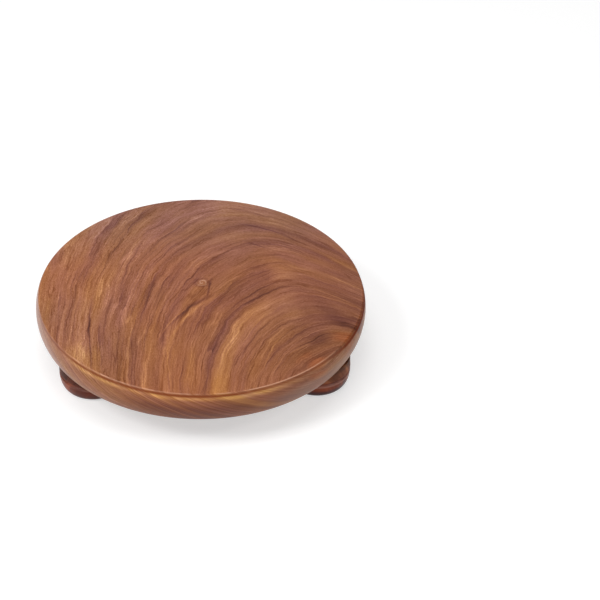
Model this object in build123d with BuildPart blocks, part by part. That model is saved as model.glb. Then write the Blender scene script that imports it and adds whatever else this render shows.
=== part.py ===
"""A chakla: a round rolling board turned from one plank, on three short turned feet.

Each foot is held by one countersunk wood screw, driven up through the foot into the underside of the board.
Lengths are in millimetres. The origin is on the floor under the middle of the board, with +Z up and the front
at -Y.
"""

import os
from math import cos, radians, sin, sqrt

from build123d import *

# The board
board_diameter = 240.0
board_thickness = 24.0
rim_belly_radius = 25.0
rim_belly_drop = 10.5
top_edge_radius = 1.0
under_edge_radius = 2.5

# The feet, evenly spaced on a circle a little off the middle of the board and a margin inside its rim
foot_height = 22.5
foot_diameter = 49.0
foot_base_diameter = 40.0
foot_lip_height = 10.8
foot_lip_edge_radius = 0.7
foot_groove_width = 2.4
foot_groove_depth = 1.2
foot_top_diameter = 48.0
foot_top_edge_radius = 0.6
foot_rim_margin = 3.5
foot_circle_shift = 2.0
foot_names = ("back", "front_left", "front_right")
back_foot_angle = 90.0

# The screws
screw_length = 32.0
screw_head_diameter = 9.0
screw_head_rim = 0.5
screw_diameter = 4.8
screw_core_diameter = 3.4
screw_thread_length = 15.0
screw_thread_pitch = 2.2
screw_thread_crest = 0.3
screw_point_length = 4.0
screw_recess_depth = 3.0
screw_clearance = 0.15
drive_slot_length = 5.0
drive_slot_width = 1.4
drive_slot_depth = 2.0
drive_slot_taper = 12.0

# Shares of the thread pitch and of the core radius
thread_root_share = 0.6
thread_sink_share = 0.1

board_radius = board_diameter / 2
foot_radius = foot_diameter / 2
foot_base_radius = foot_base_diameter / 2
foot_top_radius = foot_top_diameter / 2
board_top = foot_height + board_thickness
foot_circle_radius = board_radius - foot_rim_margin - foot_radius
foot_angles = {name: back_foot_angle + 360 * number / len(foot_names) for number, name in enumerate(foot_names)}
head_radius = screw_head_diameter / 2
shank_radius = screw_diameter / 2
core_radius = screw_core_diameter / 2
countersink_depth = head_radius - shank_radius


def foot_place(angle):
    """The middle of a foot, in plan, for its angle round the circle of feet."""
    turn = radians(angle)
    return foot_circle_shift + foot_circle_radius * cos(turn), foot_circle_radius * sin(turn)


def upright_plane(place):
    """A plane that stands on the floor with its Y axis on the upright line through place."""
    return Plane(origin=(*place, 0), x_dir=(1, 0, 0), z_dir=(0, -1, 0))


def upright_axis(place):
    """The upright line through place."""
    return Axis((*place, 0), (0, 0, 1))


def screw_hole(place):
    """Cuts the room for one screw, which is the screw's own outline grown by its clearance."""
    gap = screw_clearance
    seat = screw_recess_depth + screw_head_rim
    tip = screw_recess_depth + screw_length
    with BuildSketch(upright_plane(place)) as outline:
        with BuildLine():
            Polyline(
                (0, 0),
                (head_radius + gap, 0),
                (head_radius + gap, seat),
                (shank_radius + gap, seat + countersink_depth),
                (shank_radius + gap, tip - screw_point_length + gap),
                (0, tip + gap),
                close=True,
            )
        make_face()
    revolve(outline.sketch, axis=upright_axis(place), mode=Mode.SUBTRACT)


# The board: a flat face above and below, and a rim turned to one arc, widest a little under the top face
belly_height = board_top - rim_belly_drop
belly_centre = board_radius - rim_belly_radius
top_reach = belly_centre + sqrt(rim_belly_radius**2 - rim_belly_drop**2)
under_reach = belly_centre + sqrt(rim_belly_radius**2 - (board_thickness - rim_belly_drop) ** 2)

with BuildPart() as board:
    with BuildSketch(Plane.XZ) as rim_profile:
        with BuildLine():
            Line((0, foot_height), (under_reach, foot_height))
            ThreePointArc((under_reach, foot_height), (board_radius, belly_height), (top_reach, board_top))
            Line((top_reach, board_top), (0, board_top))
            Line((0, board_top), (0, foot_height))
        make_face()
        under_corner = rim_profile.vertices().group_by(Axis.Y)[0].sort_by(Axis.X)[-1]
        fillet(under_corner, radius=under_edge_radius)
        top_corner = rim_profile.vertices().group_by(Axis.Y)[-1].sort_by(Axis.X)[-1]
        fillet(top_corner, radius=top_edge_radius)
    revolve(axis=Axis.Z)
    for angle in foot_angles.values():
        screw_hole(foot_place(angle))

board.part.label = "board"


def make_foot(name, place):
    """One turned foot: a rounded base that swells to a lip, a cut groove over it and a nearly straight neck."""
    groove_top = foot_lip_height + foot_groove_width
    groove_bottom_radius = foot_radius - foot_groove_depth
    with BuildPart() as foot:
        with BuildSketch(upright_plane(place)) as outline:
            with BuildLine():
                Line((0, 0), (foot_base_radius, 0))
                EllipticalCenterArc(
                    (foot_base_radius, foot_lip_height),
                    foot_radius - foot_base_radius,
                    foot_lip_height,
                    start_angle=270,
                    arc_size=90,
                )
                ThreePointArc(
                    (foot_radius, foot_lip_height),
                    (groove_bottom_radius, foot_lip_height + foot_groove_width / 2),
                    (foot_radius, groove_top),
                )
                Line((foot_radius, groove_top), (foot_top_radius, foot_height))
                Line((foot_top_radius, foot_height), (0, foot_height))
                Line((0, foot_height), (0, 0))
            make_face()
            neck_corner = outline.vertices().group_by(Axis.Y)[-1].sort_by(Axis.X)[-1]
            fillet(neck_corner, radius=foot_top_edge_radius)
            lip_corner = outline.vertices().sort_by_distance((foot_radius, foot_lip_height))[0]
            fillet(lip_corner, radius=foot_lip_edge_radius)
        revolve(axis=upright_axis(place))
        screw_hole(place)
    foot.part.label = name
    return foot.part


def make_screw(name, place):
    """One countersunk wood screw, head down, with a cross recess and a helical thread that ends at its point."""
    head_face = screw_recess_depth
    cone_top = head_face + screw_head_rim + countersink_depth
    tip = head_face + screw_length
    point_base = tip - screw_point_length
    thread_base = point_base - screw_thread_length
    shank_end = thread_base - (shank_radius - core_radius)
    thread_root = screw_thread_pitch * thread_root_share
    sunk_radius = core_radius * (1 - thread_sink_share)
    with BuildPart() as screw:
        with BuildSketch(upright_plane(place)):
            with BuildLine():
                Polyline(
                    (0, head_face),
                    (head_radius, head_face),
                    (head_radius, head_face + screw_head_rim),
                    (shank_radius, cone_top),
                    (shank_radius, shank_end),
                    (core_radius, thread_base),
                    (core_radius, point_base),
                    (0, tip),
                    close=True,
                )
            make_face()
        revolve(axis=upright_axis(place))
        thread_line = Helix(
            screw_thread_pitch,
            screw_thread_length - thread_root,
            core_radius,
            center=(*place, thread_base + thread_root / 2),
        )
        with BuildSketch(Plane(origin=thread_line @ 0, x_dir=(1, 0, 0), z_dir=thread_line % 0)):
            with BuildLine():
                Polyline(
                    (sunk_radius - core_radius, -thread_root / 2),
                    (shank_radius - core_radius, -screw_thread_crest / 2),
                    (shank_radius - core_radius, screw_thread_crest / 2),
                    (sunk_radius - core_radius, thread_root / 2),
                    close=True,
                )
            make_face()
        sweep(path=thread_line, is_frenet=True)
        with BuildSketch(Plane.XY.offset(head_face)):
            with Locations(place):
                Rectangle(drive_slot_length, drive_slot_width)
                Rectangle(drive_slot_width, drive_slot_length)
        extrude(amount=drive_slot_depth, taper=drive_slot_taper, mode=Mode.SUBTRACT)
    screw.part.label = name
    return screw.part


os.makedirs("parts", exist_ok=True)
export_step(board.part, "parts/board.step")
for where, angle in foot_angles.items():
    foot_name = f"foot_{where}"
    screw_name = f"screw_{where}"
    export_step(make_foot(foot_name, foot_place(angle)), f"parts/{foot_name}.step")
    export_step(make_screw(screw_name, foot_place(angle)), f"parts/{screw_name}.step")
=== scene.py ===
"""The looks of a chakla: a round rolling board turned from one plank of rosewood, on three short turned feet.

Lengths are in metres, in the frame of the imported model: the floor is at z = 0 and the front is at -Y.
"""

from math import cos, pi, radians, sin

import bpy
from mathutils import Matrix, Vector


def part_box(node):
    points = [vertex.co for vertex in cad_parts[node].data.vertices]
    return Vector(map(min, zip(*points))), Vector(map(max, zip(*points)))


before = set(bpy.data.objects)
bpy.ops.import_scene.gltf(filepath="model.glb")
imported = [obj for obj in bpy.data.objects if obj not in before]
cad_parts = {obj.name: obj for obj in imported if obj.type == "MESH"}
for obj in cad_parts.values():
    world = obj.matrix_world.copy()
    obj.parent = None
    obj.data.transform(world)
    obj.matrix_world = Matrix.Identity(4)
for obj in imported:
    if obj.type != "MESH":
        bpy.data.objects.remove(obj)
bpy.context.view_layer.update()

# The camera, where the photograph was taken from
camera_place = Vector((-0.0100, -0.9340, 0.7447))
camera_yaw = radians(5.02)
camera_pitch = radians(37.11)
camera_roll = radians(2.30)
camera_lens = 96.0
camera_sensor = 36.0

# The studio: a white table that runs out of sight, two big side lamps, a soft top lamp and a pale room
floor_reach = 6.0
floor_white = 0.60
floor_lift = 0.52
white_near = 0.45
white_far = 1.20
room_light = 0.24
left_wall_light = 1.15
right_wall_light = 0.70
wall_foot = 0.14
wall_top = 0.40
lamps = (
    ("left_lamp", (-1.00, -0.46, 1.20), 0.55, 11.8),
    ("right_lamp", (1.10, -0.60, 1.25), 0.45, 4.5),
    ("top_lamp", (-0.10, -0.10, 1.70), 1.1, 11.2),
)

# The plank's growth rings show on the face as nested arches, spread about an axis that leans to the left.
# Under the face they run inwards by a multiple of the depth, which is smaller at the far left.
board_low, board_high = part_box("board")
board_top = board_high.z
board_radius = (board_high.x - board_low.x) / 2
face_edge = board_radius - 0.0029
arch_centre = (0.1015, -0.083)
arch_axis = radians(115)
arch_reach = 0.300
arch_left_spread = 5.66
arch_right_spread = 17.45
arch_shift = 0.005
arch_blend = 0.008
ring_dive = 2.2
far_left_dive = 1.0

# The small waves of the rings, as (how many to a metre, swing)
ring_waves = ((22.0, 0.0080), (75.0, 0.0048), (220.0, 0.0016))

# The dark lines where one season's wood ends, as (spacing, how far they wander in it, how dark they are)
season_lines = ((0.0170, 2.4, 0.18), (0.0058, 2.0, 0.17))

# The small knot in the face, two spots where the wood turns orange, and a golden one
knot_place = (0.0002, 0.0078)
knot_coil = 0.0026
orange_spots = ((0.099, -0.059), (0.077, -0.085))
golden_spot = (-0.0855, -0.0730)

# Depths on the rim: the dark orange line, which sinks at the right, the golden band under it, partly wood
# and partly a painted highlight, and where the rim begins to count as low
line_depth = 0.0016
line_depth_right = 0.0032
line_width = 0.0014
line_width_right = 0.0018
glow_depth = 0.0034
glow_width = 0.0026
low_rim_start = 0.0065
low_rim_full = 0.0120

# Heights on the feet: the bottom edge, the lip where the base is widest, the neck, and its top, which
# the board shades
foot_bottom = 0.0005
foot_lip = 0.0104
lip_width = 0.0016
neck_start = 0.0118
neck_full = 0.0150
neck_shade_start = 0.0175
neck_shade_full = 0.0210

# The tone from ring to ring, as (ring, tone), on each side of the arches. 0.5 is the plain red-brown.
ring_span = 0.28
band_strength = 1.15
left_flank_bands = (
    (0.000, 0.50), (0.030, 0.44), (0.046, 0.54), (0.056, 0.45), (0.070, 0.56), (0.077, 0.60), (0.083, 0.66),
    (0.0865, 0.60), (0.0895, 0.49), (0.094, 0.41), (0.104, 0.50), (0.120, 0.47), (0.144, 0.53), (0.149, 0.40),
    (0.168, 0.52), (0.179, 0.42), (0.186, 0.54), (0.198, 0.41), (0.208, 0.43), (0.224, 0.52), (0.246, 0.56),
    (0.262, 0.48), (0.274, 0.53),
)
crown_bands = (
    (0.000, 0.41), (0.045, 0.49), (0.060, 0.45), (0.076, 0.56), (0.080, 0.62), (0.084, 0.67), (0.0875, 0.60),
    (0.0905, 0.44), (0.095, 0.37), (0.103, 0.42), (0.124, 0.43), (0.150, 0.45), (0.173, 0.52), (0.1785, 0.42),
    (0.1815, 0.38), (0.186, 0.51), (0.208, 0.49), (0.216, 0.55), (0.240, 0.48), (0.254, 0.45), (0.266, 0.58),
)
right_flank_bands = (
    (0.000, 0.43), (0.028, 0.54), (0.048, 0.40), (0.060, 0.48), (0.081, 0.46), (0.084, 0.56), (0.087, 0.44),
    (0.093, 0.40), (0.110, 0.53), (0.124, 0.54), (0.133, 0.46), (0.147, 0.53), (0.154, 0.46), (0.157, 0.40),
    (0.164, 0.51), (0.177, 0.48), (0.181, 0.40), (0.190, 0.56), (0.214, 0.64),
)

# Single streaks, as (ring, half width, turn of the middle, half length in turn, lean across the rings, tone)
streaks = (
    (0.2330, 0.0022, 0.71, 0.14, -0.050, -0.36),
    (0.2400, 0.0080, 0.77, 0.05, -0.100, 0.28),
    (0.1790, 0.0024, 0.45, 0.13, -0.018, -0.24),
    (0.1945, 0.0014, 0.46, 0.14, 0.012, -0.20),
    (0.1835, 0.0012, 0.58, 0.14, 0.035, 0.20),
    (0.1350, 0.0034, 0.40, 0.15, 0.090, -0.34),
    (0.1320, 0.0022, 0.26, 0.06, -0.140, -0.28),
    (0.1430, 0.0014, 0.47, 0.17, 0.100, 0.28),
    (0.1320, 0.0030, 0.43, 0.22, 0.070, 0.24),
    (0.1378, 0.0016, 0.64, 0.13, -0.075, 0.20),
    (0.0470, 0.0013, 0.28, 0.16, -0.030, 0.24),
    (0.0738, 0.0013, 0.27, 0.18, -0.010, 0.18),
    (0.2130, 0.0020, 0.40, 0.20, -0.040, -0.20),
    (0.2180, 0.0026, 0.40, 0.20, -0.040, 0.16),
    (0.1770, 0.0018, -0.23, 0.17, 0.047, -0.26),
    (0.1520, 0.0018, -0.09, 0.09, 0.120, -0.22),
    (0.1252, 0.0013, -0.48, 0.16, 0.010, 0.38),
    (0.0950, 0.0012, 0.08, 0.30, 0.012, -0.22),
    (0.1010, 0.0010, 0.12, 0.26, 0.000, -0.18),
    (0.1165, 0.0010, 0.00, 0.22, 0.010, -0.18),
    (0.1120, 0.0120, -0.12, 0.16, 0.030, 0.16),
    (0.0700, 0.0200, 0.16, 0.12, 0.000, 0.08),
    (0.0340, 0.0160, 0.04, 0.16, 0.000, -0.18),
    (0.0550, 0.0350, -0.24, 0.15, 0.100, -0.14),
    (0.0895, 0.0013, -0.33, 0.15, 0.035, 0.28),
    (0.0833, 0.0013, 0.48, 0.24, 0.000, 0.12),
    (0.2225, 0.0070, 0.41, 0.12, 0.000, -0.12),
    (0.2360, 0.0050, 0.67, 0.10, 0.000, -0.12),
    (0.0860, 0.0060, 0.03, 0.10, 0.000, -0.16),
    (0.0640, 0.0090, 0.05, 0.10, 0.000, 0.18),
    (0.1045, 0.0080, -0.06, 0.14, 0.000, 0.18),
    (0.1620, 0.0080, -0.55, 0.12, 0.000, 0.14),
)


class Signal:
    """A value on its way through a material's nodes. Arithmetic on it adds the nodes that it needs."""

    def __init__(self, finish, socket):
        self.finish = finish
        self.socket = socket

    def math(self, operation, *others, clamp=False):
        settings = {"operation": operation, "use_clamp": clamp}
        return self.finish.add("ShaderNodeMath", settings, dict(enumerate((self, *others))))

    def __add__(self, other):
        return self.math("ADD", other)

    def __mul__(self, other):
        return self.math("MULTIPLY", other)

    __radd__ = __add__
    __rmul__ = __mul__

    def __sub__(self, other):
        return self.math("SUBTRACT", other)

    def __rsub__(self, other):
        return self.finish.add("ShaderNodeMath", {"operation": "SUBTRACT"}, {0: other, 1: self})

    def __truediv__(self, other):
        return self.math("DIVIDE", other)

    def step(self, low, high):
        """Rises smoothly from 0 at low to 1 at high, or falls where low is the larger."""
        values = {"Value": self, "From Min": low, "From Max": high}
        return self.finish.add("ShaderNodeMapRange", {"interpolation_type": "SMOOTHSTEP"}, values)

    def bump(self, middle, width):
        """A soft peak of 1 at middle that has died away at width to either side."""
        return (self - middle).math("ABSOLUTE").step(width, 0.0)

    def ramp(self, *stops):
        """Numbers or colours that follow the value, given as (place, colour) stops."""
        return self.finish.add("ShaderNodeValToRGB", {"stops": stops}, {"Fac": self})

    def mix(self, mask, other):
        """Goes from this colour to the other as mask goes from 0 to 1."""
        return self.finish.add("ShaderNodeMix", {"data_type": "RGBA"}, {0: mask, 6: self, 7: other}, 2)

    def tint(self, mask, colour):
        """Multiplies this colour by another, as far as mask says."""
        settings = {"data_type": "RGBA", "blend_type": "MULTIPLY"}
        return self.finish.add("ShaderNodeMix", settings, {0: mask, 6: self, 7: colour}, 2)


class Finish:
    """The nodes of one material, or of the room, and the one way that they are added."""

    def __init__(self, owner):
        owner.use_nodes = True
        self.owner = owner
        self.tree = owner.node_tree
        self.tree.nodes.clear()

    def add(self, kind, settings=None, values=None, output=0):
        """A node with its settings made first and its sockets given values or links. Returns one output."""
        node = self.tree.nodes.new(kind)
        for key, setting in (settings or {}).items():
            if key == "stops":
                self.place_stops(node.color_ramp, setting)
            else:
                setattr(node, key, setting)
        for key, value in (values or {}).items():
            if isinstance(value, Signal):
                self.tree.links.new(value.socket, node.inputs[key])
            else:
                node.inputs[key].default_value = value
        return Signal(self, node.outputs[output]) if len(node.outputs) else node

    def place_stops(self, ramp, stops):
        while len(ramp.elements) < len(stops):
            ramp.elements.new(1.0)
        for element, (place, colour) in zip(ramp.elements, stops):
            element.position = place
            element.color = colour if isinstance(colour, tuple) else (colour, colour, colour, 1.0)

    def point(self):
        """The place on the piece, in metres."""
        return self.add("ShaderNodeTexCoord", output="Object")

    def coordinates(self):
        """The same place as its three coordinates."""
        return tuple(self.add("ShaderNodeSeparateXYZ", {}, {0: self.point()}, axis) for axis in range(3))

    def vector(self, x, y, z):
        return self.add("ShaderNodeCombineXYZ", {}, {0: x, 1: y, 2: z})

    def noise(self, where, scale=1.0, detail=2.0, roughness=0.5):
        values = {"Vector": where, "Scale": scale, "Detail": detail, "Roughness": roughness}
        return self.add("ShaderNodeTexNoise", {}, values)

    def surface(self, values):
        """Ends the material in a Principled BSDF with these values."""
        shader = self.add("ShaderNodeBsdfPrincipled", {}, values)
        self.add("ShaderNodeOutputMaterial", {}, {"Surface": shader})
        return self.owner

    def seen(self):
        """1 for what the camera sees, straight or reflected, and 0 for light on its way to other pieces."""
        kinds = ("Is Camera Ray", "Is Glossy Ray", "Is Transmission Ray")
        camera, glossy, through = (self.add("ShaderNodeLightPath", output=kind) for kind in kinds)
        return (camera + glossy + through).math("MINIMUM", 1.0)


def new_material(name):
    return Finish(bpy.data.materials.new(name))


def band_stops(bands):
    """The bands as stops of a ramp over the whole span of the rings."""
    return tuple((place / ring_span, tone) for place, tone in bands)


def srgb(red, green, blue):
    """A colour as a screen shows it, from 0 to 255, as the linear colour that nodes take."""
    shares = (level / 255 for level in (red, green, blue))
    linear = [share / 12.92 if share <= 0.04045 else ((share + 0.055) / 1.055) ** 2.4 for share in shares]
    return (*linear, 1.0)


def grain(finish, place, fineness, reach, detail=3.0, roughness=0.6):
    """Streaks that follow the rings: fineness of them to a metre across, and reach to a metre along."""
    ring, across, back = place
    stretched = finish.vector(ring * fineness, across * reach, back * reach)
    return finish.noise(stretched, 1.0, detail, roughness) - 0.5


def distance(x, y, place):
    """How far a point lies from a place in plan."""
    away, up = x - place[0], y - place[1]
    return (away * away + up * up).math("SQRT")


def shaded(colour, amount):
    """Lightens or darkens a colour, most in its blue and least in its red, so that it never turns vivid."""
    return colour.tint(1.0, colour.finish.vector(amount * 0.7 + 1.0, amount + 1.0, amount * 1.4 + 1.0))


class Plank:
    """Where each point of the board's wood lies, and the figure that the growth rings draw there."""

    def __init__(self, finish):
        self.finish = finish
        self.point = finish.point()
        self.x, self.y, z = finish.coordinates()
        self.depth = board_top - z
        self.near_face = self.depth.step(0.0040, 0.0010)
        radius = distance(self.x, self.y, (0.0, 0.0))
        self.on_rim = radius.step(face_edge - 0.0003, face_edge + 0.0004)
        # Which way the rim faces: -1 to the front and 1 to the back
        self.facing = self.y / radius
        self.find_rings()
        self.broad = self.grain(85.0, 14.0, 3.0, 0.55)
        self.fine = self.grain(320.0, 16.0, 4.0, 0.62)
        self.hair = self.grain(1000.0, 60.0, 2.0)
        self.patch = self.grain(45.0, 28.0, 2.0) + 0.5
        self.calm = 1.0 - self.x.step(0.020, 0.070) * 0.15
        liveliness = (self.grain(50.0, 24.0, 2.0) + 0.5).step(0.38, 0.62) * 0.80 + 0.45
        self.liveliness = liveliness * self.calm * (1.0 - self.on_rim * 0.25)

    def find_rings(self):
        """How far out and how far round the rings a point lies, and its place for the grain."""
        dive = self.x.step(-0.090, -0.030) * (ring_dive - far_left_dive) + far_left_dive
        across = self.x - self.depth * dive - arch_centre[0]
        back = self.y - arch_centre[1]
        along = across * cos(arch_axis) + back * sin(arch_axis) + arch_reach
        aside = back * cos(arch_axis) - across * sin(arch_axis) - arch_shift
        side = aside / (aside * aside + arch_blend**2).math("SQRT") * 0.5 + 0.5
        spread = (side * (arch_left_spread - arch_right_spread) + arch_right_spread).math("SQRT")
        wide = aside * spread
        ring = (along * along + wide * wide).math("SQRT") - arch_reach
        for fineness, swing in ring_waves:
            ring = ring + (self.finish.noise(self.point, fineness) - 0.5) * swing
        self.ring = ring
        self.turn = wide.math("ARCTAN2", along)
        self.place = (ring, across, back)

    def grain(self, *settings):
        return grain(self.finish, self.place, *settings)

    def bands(self):
        """The tone from ring to ring, blended across the arches and weaker on the rim."""
        share = self.ring / ring_span
        tone = share.ramp(*band_stops(left_flank_bands))
        tone = tone.mix(self.turn.step(0.62, 0.42), share.ramp(*band_stops(crown_bands)))
        tone = tone.mix(self.turn.step(0.04, -0.10), share.ramp(*band_stops(right_flank_bands)))
        return (tone - 0.5) * band_strength * (1.0 - self.depth.step(0.0005, 0.0020) * 0.35) + 0.5

    def single_streaks(self):
        """The streaks that stand alone, which may lean across the rings."""
        tone = 0.0
        for ring, width, middle, length, lean, change in streaks:
            line = (self.ring - (self.turn - middle) * lean).bump(ring, width)
            tone = line * self.turn.bump(middle, length) * change + tone
        return tone

    def season_ends(self):
        """The dark lines where each season's wood ends, which come and go along the rings."""
        darkness = 0.0
        for number, (spacing, drift, strength) in enumerate(season_lines):
            wander = self.grain(0.5 / spacing, 7.0, 2.0) * drift
            season = (self.ring * (1 / spacing) + wander + number * 0.4).math("FRACT")
            showing = (self.grain(40.0, 18.0, 2.0) + 0.5).step(0.34, 0.62)
            darkness = season.math("POWER", 5.0) * showing * self.calm * strength + darkness
        return darkness

    def threads(self):
        """Thin threads along the rings, pale in some places and dark in the others."""
        pale = self.grain(70.0, 9.0, 2.0).math("ABSOLUTE").step(0.020, 0.006)
        dark = (self.grain(62.0, 8.0, 2.0) - 0.07).math("ABSOLUTE").step(0.022, 0.006)
        kind = self.grain(30.0, 16.0, 2.0)
        return pale * kind.step(0.00, 0.10) * 0.30 - dark * kind.step(0.06, -0.06) * 0.24

    def knot(self):
        """The pale curl of the small knot, and the dark ring round it."""
        away = distance(self.x, self.y, knot_place) + (self.finish.noise(self.point, 240.0) - 0.5) * 0.0040
        turn = (self.y - knot_place[1]).math("ARCTAN2", self.x - knot_place[0]) * (0.5 / pi)
        coil = (away / knot_coil + turn + 0.3).math("FRACT").bump(0.5, 0.34)
        curl = coil * away.step(0.0044, 0.0034) * self.near_face
        return curl, away.bump(0.0050, 0.0024) * self.near_face

    def golden_patch(self):
        """The golden patch at the front left of the face."""
        patch = (distance(self.x, self.y, golden_spot) + self.broad * 0.040).step(0.0120, 0.0030)
        return patch * self.depth.step(0.0060, 0.0030)

    def rim_glow(self):
        """The golden band under the upper edge, partly wood and partly a painted highlight, along the front
        and fading to the right.
        """
        uneven = self.patch.step(0.30, 0.60) * 0.5 + 0.5
        glow = self.depth.bump(glow_depth, glow_width) * self.facing.step(-0.45, -0.85) * self.on_rim * uneven
        return glow * (1.0 - self.x.step(0.035, 0.072) * 0.85)

    def low_rim(self):
        return self.depth.step(low_rim_start, low_rim_full)

    def rim_light_and_shade(self):
        """Painted light and shade round and down the rim: shade low in front, light low at the right and high
        at the front right.
        """
        x, depth, facing = self.x, self.depth, self.facing
        low = self.low_rim() * (0.02 + x.step(0.0, 0.06) * 0.22 - facing.step(-0.80, -0.97) * 0.20)
        right = depth.bump(0.0080, 0.0050) * x.step(0.070, 0.095) * 0.22
        front_right = depth.bump(0.0036, 0.0040) * x.step(0.010, 0.035) * facing.step(-0.45, -0.65) * 0.20
        under = depth.step(0.0080, 0.0140) * x.step(0.035, 0.060) * facing.step(-0.55, -0.80) * 0.28
        return low + self.on_rim * (right + front_right - under)


def regional_tints(wood, glow):
    """How the colour drifts over the board, as (how much, tint)."""
    x, y = wood.x, wood.y
    yellowness = wood.grain(50.0, 16.0, 1.0) + glow * 0.08 + 0.5
    yellowness = yellowness - x.step(0.03, 0.08) * 0.07 - x.step(-0.02, -0.06) * 0.03
    ring_tint = yellowness.ramp((0.36, (0.98, 0.94, 1.0, 1.0)), (0.64, (1.0, 0.975, 0.74, 1.0)))
    greyness = wood.finish.noise(wood.point, 14.0).step(0.40, 0.64)
    mauve = wood.ring.bump(0.0945, 0.0065) * wood.turn.bump(0.50, 0.45) * wood.near_face
    # Bluer and duller towards the back of the face: painted sheen
    far_back = wood.place[2].step(0.105, 0.175)
    near_front = y.step(-0.055, -0.095) * wood.near_face
    far_left = x.step(-0.050, -0.095) * y.step(-0.030, 0.010)
    return (
        (1.0, ring_tint),
        (greyness, (0.92, 0.94, 0.97, 1.0)),
        (far_back, (0.90, 1.00, 1.38, 1.0)),
        (near_front, (1.02, 1.00, 0.88, 1.0)),
        (far_left, (1.02, 0.95, 0.97, 1.0)),
        (mauve, (1.00, 1.03, 1.40, 1.0)),
        (x.step(0.010, 0.105), (0.78, 0.76, 0.80, 1.0)),
        (x.step(-0.020, -0.080), (0.99, 1.06, 1.09, 1.0)),
    )


def rim_lines(wood, colour, right_side, upper_right):
    """Draws the dark orange line under the upper edge, and a painted highlight along the arris over it at the
    front.
    """
    front_left = wood.x.step(-0.015, -0.045) * wood.facing.step(-0.30, -0.60)
    front_right = wood.x.step(0.020, 0.040) * wood.facing.step(-0.55, -0.75)
    middle = line_depth + right_side * (line_depth_right - line_depth)
    line = wood.depth.bump(middle, line_width + right_side * (line_width_right - line_width))
    line = line * wood.on_rim * (wood.patch.step(0.25, 0.55) * 0.3 + 0.7)
    colour = colour.mix(line * (0.95 - front_right * 0.40) * (1.0 - right_side), srgb(128, 58, 14))
    colour = colour.mix(line * right_side * 0.95, srgb(116, 44, 14))
    colour = colour.tint(upper_right, (0.94, 0.80, 0.66, 1.0))
    # A painted highlight along the arris at the front, in a pale pink
    arris_highlight_right = front_right * wood.facing.step(-0.66, -0.80) * 0.8
    arris_highlight = wood.patch.step(0.46, 0.64) * 0.45 + front_left * 0.30 + arris_highlight_right
    arris_highlight = arris_highlight * wood.depth.bump(0.0002, 0.0005) * wood.on_rim * wood.facing.step(-0.50, -0.70)
    return colour.mix(arris_highlight.math("MINIMUM", 0.7), srgb(205, 152, 122))


def board_rosewood():
    """Oiled rosewood: red-brown, with golden and purple streaks, open pores and a satin coat."""
    finish = new_material("board_rosewood")
    wood = Plank(finish)
    x = wood.x
    threads = wood.threads()
    knot_curl, knot_ring = wood.knot()
    glow = wood.rim_glow()

    tone = wood.bands() + wood.single_streaks()
    tone = tone + (wood.broad * 0.32 + wood.fine * 0.14) * wood.liveliness - wood.season_ends()
    tone = tone + threads * 0.20 + knot_curl * 0.08 - knot_ring * 0.12
    # The golden band and the rim's tone add a painted highlight and painted light and shade
    tone = tone + wood.golden_patch() * 0.14 + glow * 0.42 + wood.rim_light_and_shade()
    colour = tone.ramp(
        (0.05, srgb(92, 48, 38)),
        (0.25, srgb(127, 73, 55)),
        (0.50, srgb(161, 102, 71)),
        (0.75, srgb(187, 127, 84)),
        (1.00, srgb(210, 153, 100)),
    )
    for mask, drift in regional_tints(wood, glow):
        colour = colour.tint(mask, drift)
    colour = colour.mix(knot_curl * 0.45, srgb(196, 156, 132))
    for spot in orange_spots:
        orange = (distance(x, wood.y, spot) + wood.broad * 0.030).step(0.013, 0.003)
        colour = colour.tint(orange * 0.65, (1.28, 0.98, 0.62, 1.0))

    colour = shaded(colour, (wood.fine * 1.10 + wood.hair * 1.30) * (wood.liveliness * 0.6 + 0.4) + threads)
    ring, across, back = wood.place
    speckle = finish.noise(finish.vector(ring * 1500.0, across * 600.0, back * 600.0), 1.0, 1.0) - 0.5
    pores = (wood.grain(1100.0, 260.0, 1.0) + 0.5).step(0.56, 0.74) * ring.step(0.08, 0.24)
    colour = shaded(colour, speckle * (x.step(0.0, -0.06) * 0.5 + 0.95) - pores * 0.30)

    # Painted reflection of the white table: the low rim at the right turns pale grey
    colour = colour.mix(wood.low_rim() * x.step(0.03, 0.07) * 0.25, srgb(172, 148, 132))
    right_side = x.step(0.085, 0.105) * wood.facing.step(0.15, -0.05)
    upper_right = wood.depth.step(0.0048, 0.0034) * wood.on_rim * right_side
    colour = rim_lines(wood, colour, right_side, upper_right)
    left_sheen = x.step(-0.085, -0.112) * 0.36
    height = wood.hair * 0.4 + wood.fine * 0.3 - pores
    normal = finish.add("ShaderNodeBump", {}, {"Strength": 0.25, "Distance": 0.0002, "Height": height})
    return finish.surface(
        {
            "Base Color": colour,
            "Roughness": 0.46 + pores * 0.15 + wood.fine * 0.12 + upper_right * 0.45,
            "Specular IOR Level": 0.16,
            "Coat Weight": 0.32 - wood.on_rim * (0.18 - left_sheen) - upper_right * 0.13,
            "Coat Roughness": 0.17,
            "Normal": normal,
        }
    )


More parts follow.
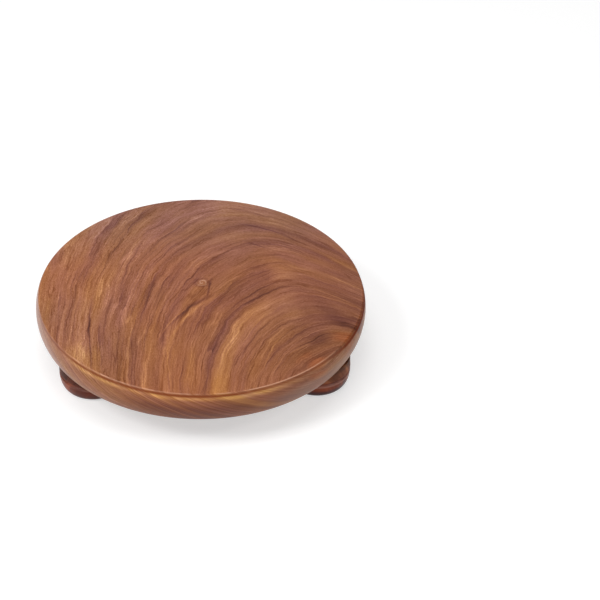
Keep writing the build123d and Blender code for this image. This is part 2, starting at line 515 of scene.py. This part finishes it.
def foot_rosewood():
    """Darker, redder heartwood, thinly coated; painted highlight on the lip, painted shade and light on the
    necks.
    """
    finish = new_material("foot_rosewood")
    x, y, z = finish.coordinates()
    sheet = y + z * 0.35 + (finish.noise(finish.point(), 30.0) - 0.5) * 0.006
    place = (sheet, x, z)
    broad = grain(finish, place, 160.0, 20.0)
    fine = grain(finish, place, 700.0, 60.0)
    neck = z.step(neck_start, neck_full)
    right_foot = x.step(-0.02, 0.02)
    colour = (broad * 0.9 + fine * 0.4 + 0.5).ramp(
        (0.20, srgb(50, 20, 14)),
        (0.45, srgb(92, 42, 28)),
        (0.60, srgb(122, 60, 40)),
        (0.80, srgb(150, 82, 54)),
    )
    tints = (
        # Painted shade on the neck, under the board
        (neck, (0.50, 0.56, 0.64, 1.0)),
        # Painted light on the upper base, below the lip
        (z.bump(0.0065, 0.0060), (1.38, 1.08, 0.74, 1.0)),
        (z.step(0.0040, foot_bottom), (1.10, 0.74, 0.40, 1.0)),
        (right_foot * z.step(0.0080, 0.0040), (0.31, 0.27, 0.55, 1.0)),
        # Painted light on the right foot's neck
        (right_foot * neck, (3.10, 4.00, 3.20, 1.0)),
        # Painted shade at the top of the right foot's neck, under the board
        (right_foot * z.step(neck_shade_start, neck_shade_full), (0.50, 0.50, 0.42, 1.0)),
    )
    for mask, drift in tints:
        colour = colour.tint(mask, drift)
    # A painted highlight along the lip, strongest on the left foot
    lip_highlight_strength = 0.15 + x.step(-0.092, -0.068) * 0.45
    lip = z.bump(foot_lip, lip_width) * (broad + 0.5).step(0.25, 0.50)
    colour = colour.mix(lip * lip_highlight_strength, srgb(182, 130, 114))
    normal = finish.add("ShaderNodeBump", {}, {"Strength": 0.2, "Distance": 0.0002, "Height": fine})
    return finish.surface(
        {
            "Base Color": colour,
            "Roughness": 0.36 + fine * 0.1 + neck * 0.20,
            "Specular IOR Level": 0.12,
            "Coat Weight": 0.14 - neck * 0.12 - z.step(0.0070, 0.0020) * 0.12,
            "Coat Roughness": 0.12,
            "Normal": normal,
        }
    )


def screw_steel():
    """Bright zinc-plated steel with fine turning marks."""
    finish = new_material("screw_steel")
    marks = finish.noise(finish.point(), 900.0, 2.0)
    colour = marks.ramp((0.3, srgb(168, 166, 160)), (0.7, srgb(205, 203, 196)))
    return finish.surface({"Base Color": colour, "Metallic": 1.0, "Roughness": 0.26 + marks * 0.16})


def dress(prefix, material):
    """Gives the material to every CAD node whose name starts so."""
    for name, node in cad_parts.items():
        if name.startswith(prefix):
            for slot in node.material_slots:
                slot.material = material


def table_white():
    """A white table that keeps the board's soft shadow where it is seen and fades to white far off."""
    finish = new_material("table_white")
    white = {"Color": (1.0, 1.0, 1.0, 1.0)}
    pale = {"Color": (floor_white, floor_white, floor_white, 1.0)}
    seen = finish.seen()
    matt = finish.add("ShaderNodeBsdfDiffuse", {}, pale)
    glow = finish.add("ShaderNodeEmission", {}, {**white, "Strength": floor_lift})
    lifted = finish.add("ShaderNodeAddShader", {}, {0: matt, 1: glow})
    near = finish.add("ShaderNodeMixShader", {}, {0: seen, 1: matt, 2: lifted})
    away = finish.add("ShaderNodeVectorMath", {"operation": "LENGTH"}, {0: finish.point()}, "Value")
    plain = finish.add("ShaderNodeEmission", {}, {**white, "Strength": 1.0})
    fade = away.step(white_near, white_far) * seen
    above = finish.add("ShaderNodeMixShader", {}, {0: fade, 1: near, 2: plain})
    from_below = finish.add("ShaderNodeNewGeometry", output="Backfacing")
    clear = finish.add("ShaderNodeBsdfTransparent", {}, white)
    surface = finish.add("ShaderNodeMixShader", {}, {0: from_below, 1: above, 2: clear})
    finish.add("ShaderNodeOutputMaterial", {}, {"Surface": surface})
    return finish.owner


def make_floor():
    for piece in bpy.context.selected_objects:
        piece.select_set(False)
    bpy.ops.mesh.primitive_plane_add(size=2 * floor_reach, location=(0, 0, 0))
    floor = bpy.context.object
    floor.name = "table"
    floor.data.materials.append(table_white())


def make_room():
    """A pale room all round: white walls low down, brightest at the left, and dimmer towards the ceiling."""
    room = Finish(bpy.data.worlds.new("room"))
    bpy.context.scene.world = room.owner
    direction = room.add("ShaderNodeTexCoord", output="Generated")
    sideways, up = (room.add("ShaderNodeSeparateXYZ", {}, {0: direction}, axis) for axis in "XZ")
    wall_light = sideways.step(-0.7, 0.7) * (right_wall_light - left_wall_light) + left_wall_light
    strength = up.step(wall_top, wall_foot) * (wall_light - room_light) + room_light
    sky = room.add("ShaderNodeBackground", {}, {"Color": (1.0, 1.0, 1.0, 1.0), "Strength": strength})
    room.add("ShaderNodeOutputWorld", {}, {"Surface": sky})


def make_lamps():
    middle = Vector((0, 0, board_top))
    for name, place, size, power in lamps:
        light = bpy.data.lights.new(name, "AREA")
        light.shape = "SQUARE"
        light.size = size
        light.energy = power
        lamp = bpy.data.objects.new(name, light)
        lamp.location = place
        lamp.rotation_euler = (middle - Vector(place)).to_track_quat("-Z", "Y").to_euler()
        bpy.context.scene.collection.objects.link(lamp)


def make_camera():
    ahead = Vector(
        (sin(camera_yaw) * cos(camera_pitch), cos(camera_yaw) * cos(camera_pitch), -sin(camera_pitch))
    )
    level = Vector((cos(camera_yaw), -sin(camera_yaw), 0))
    upright = level.cross(ahead)
    right = level * cos(camera_roll) + upright * sin(camera_roll)
    up = upright * cos(camera_roll) - level * sin(camera_roll)
    turn = Matrix((right, up, -ahead)).transposed()
    view = bpy.data.cameras.new("camera")
    view.lens = camera_lens
    view.sensor_width = camera_sensor
    camera = bpy.data.objects.new("camera", view)
    camera.matrix_world = Matrix.Translation(camera_place) @ turn.to_4x4()
    bpy.context.scene.collection.objects.link(camera)
    bpy.context.scene.camera = camera


make_camera()
make_room()
make_floor()
make_lamps()
dress("board", board_rosewood())
dress("foot", foot_rosewood())
dress("screw", screw_steel())

bpy.context.scene.view_settings.view_transform = "Standard"
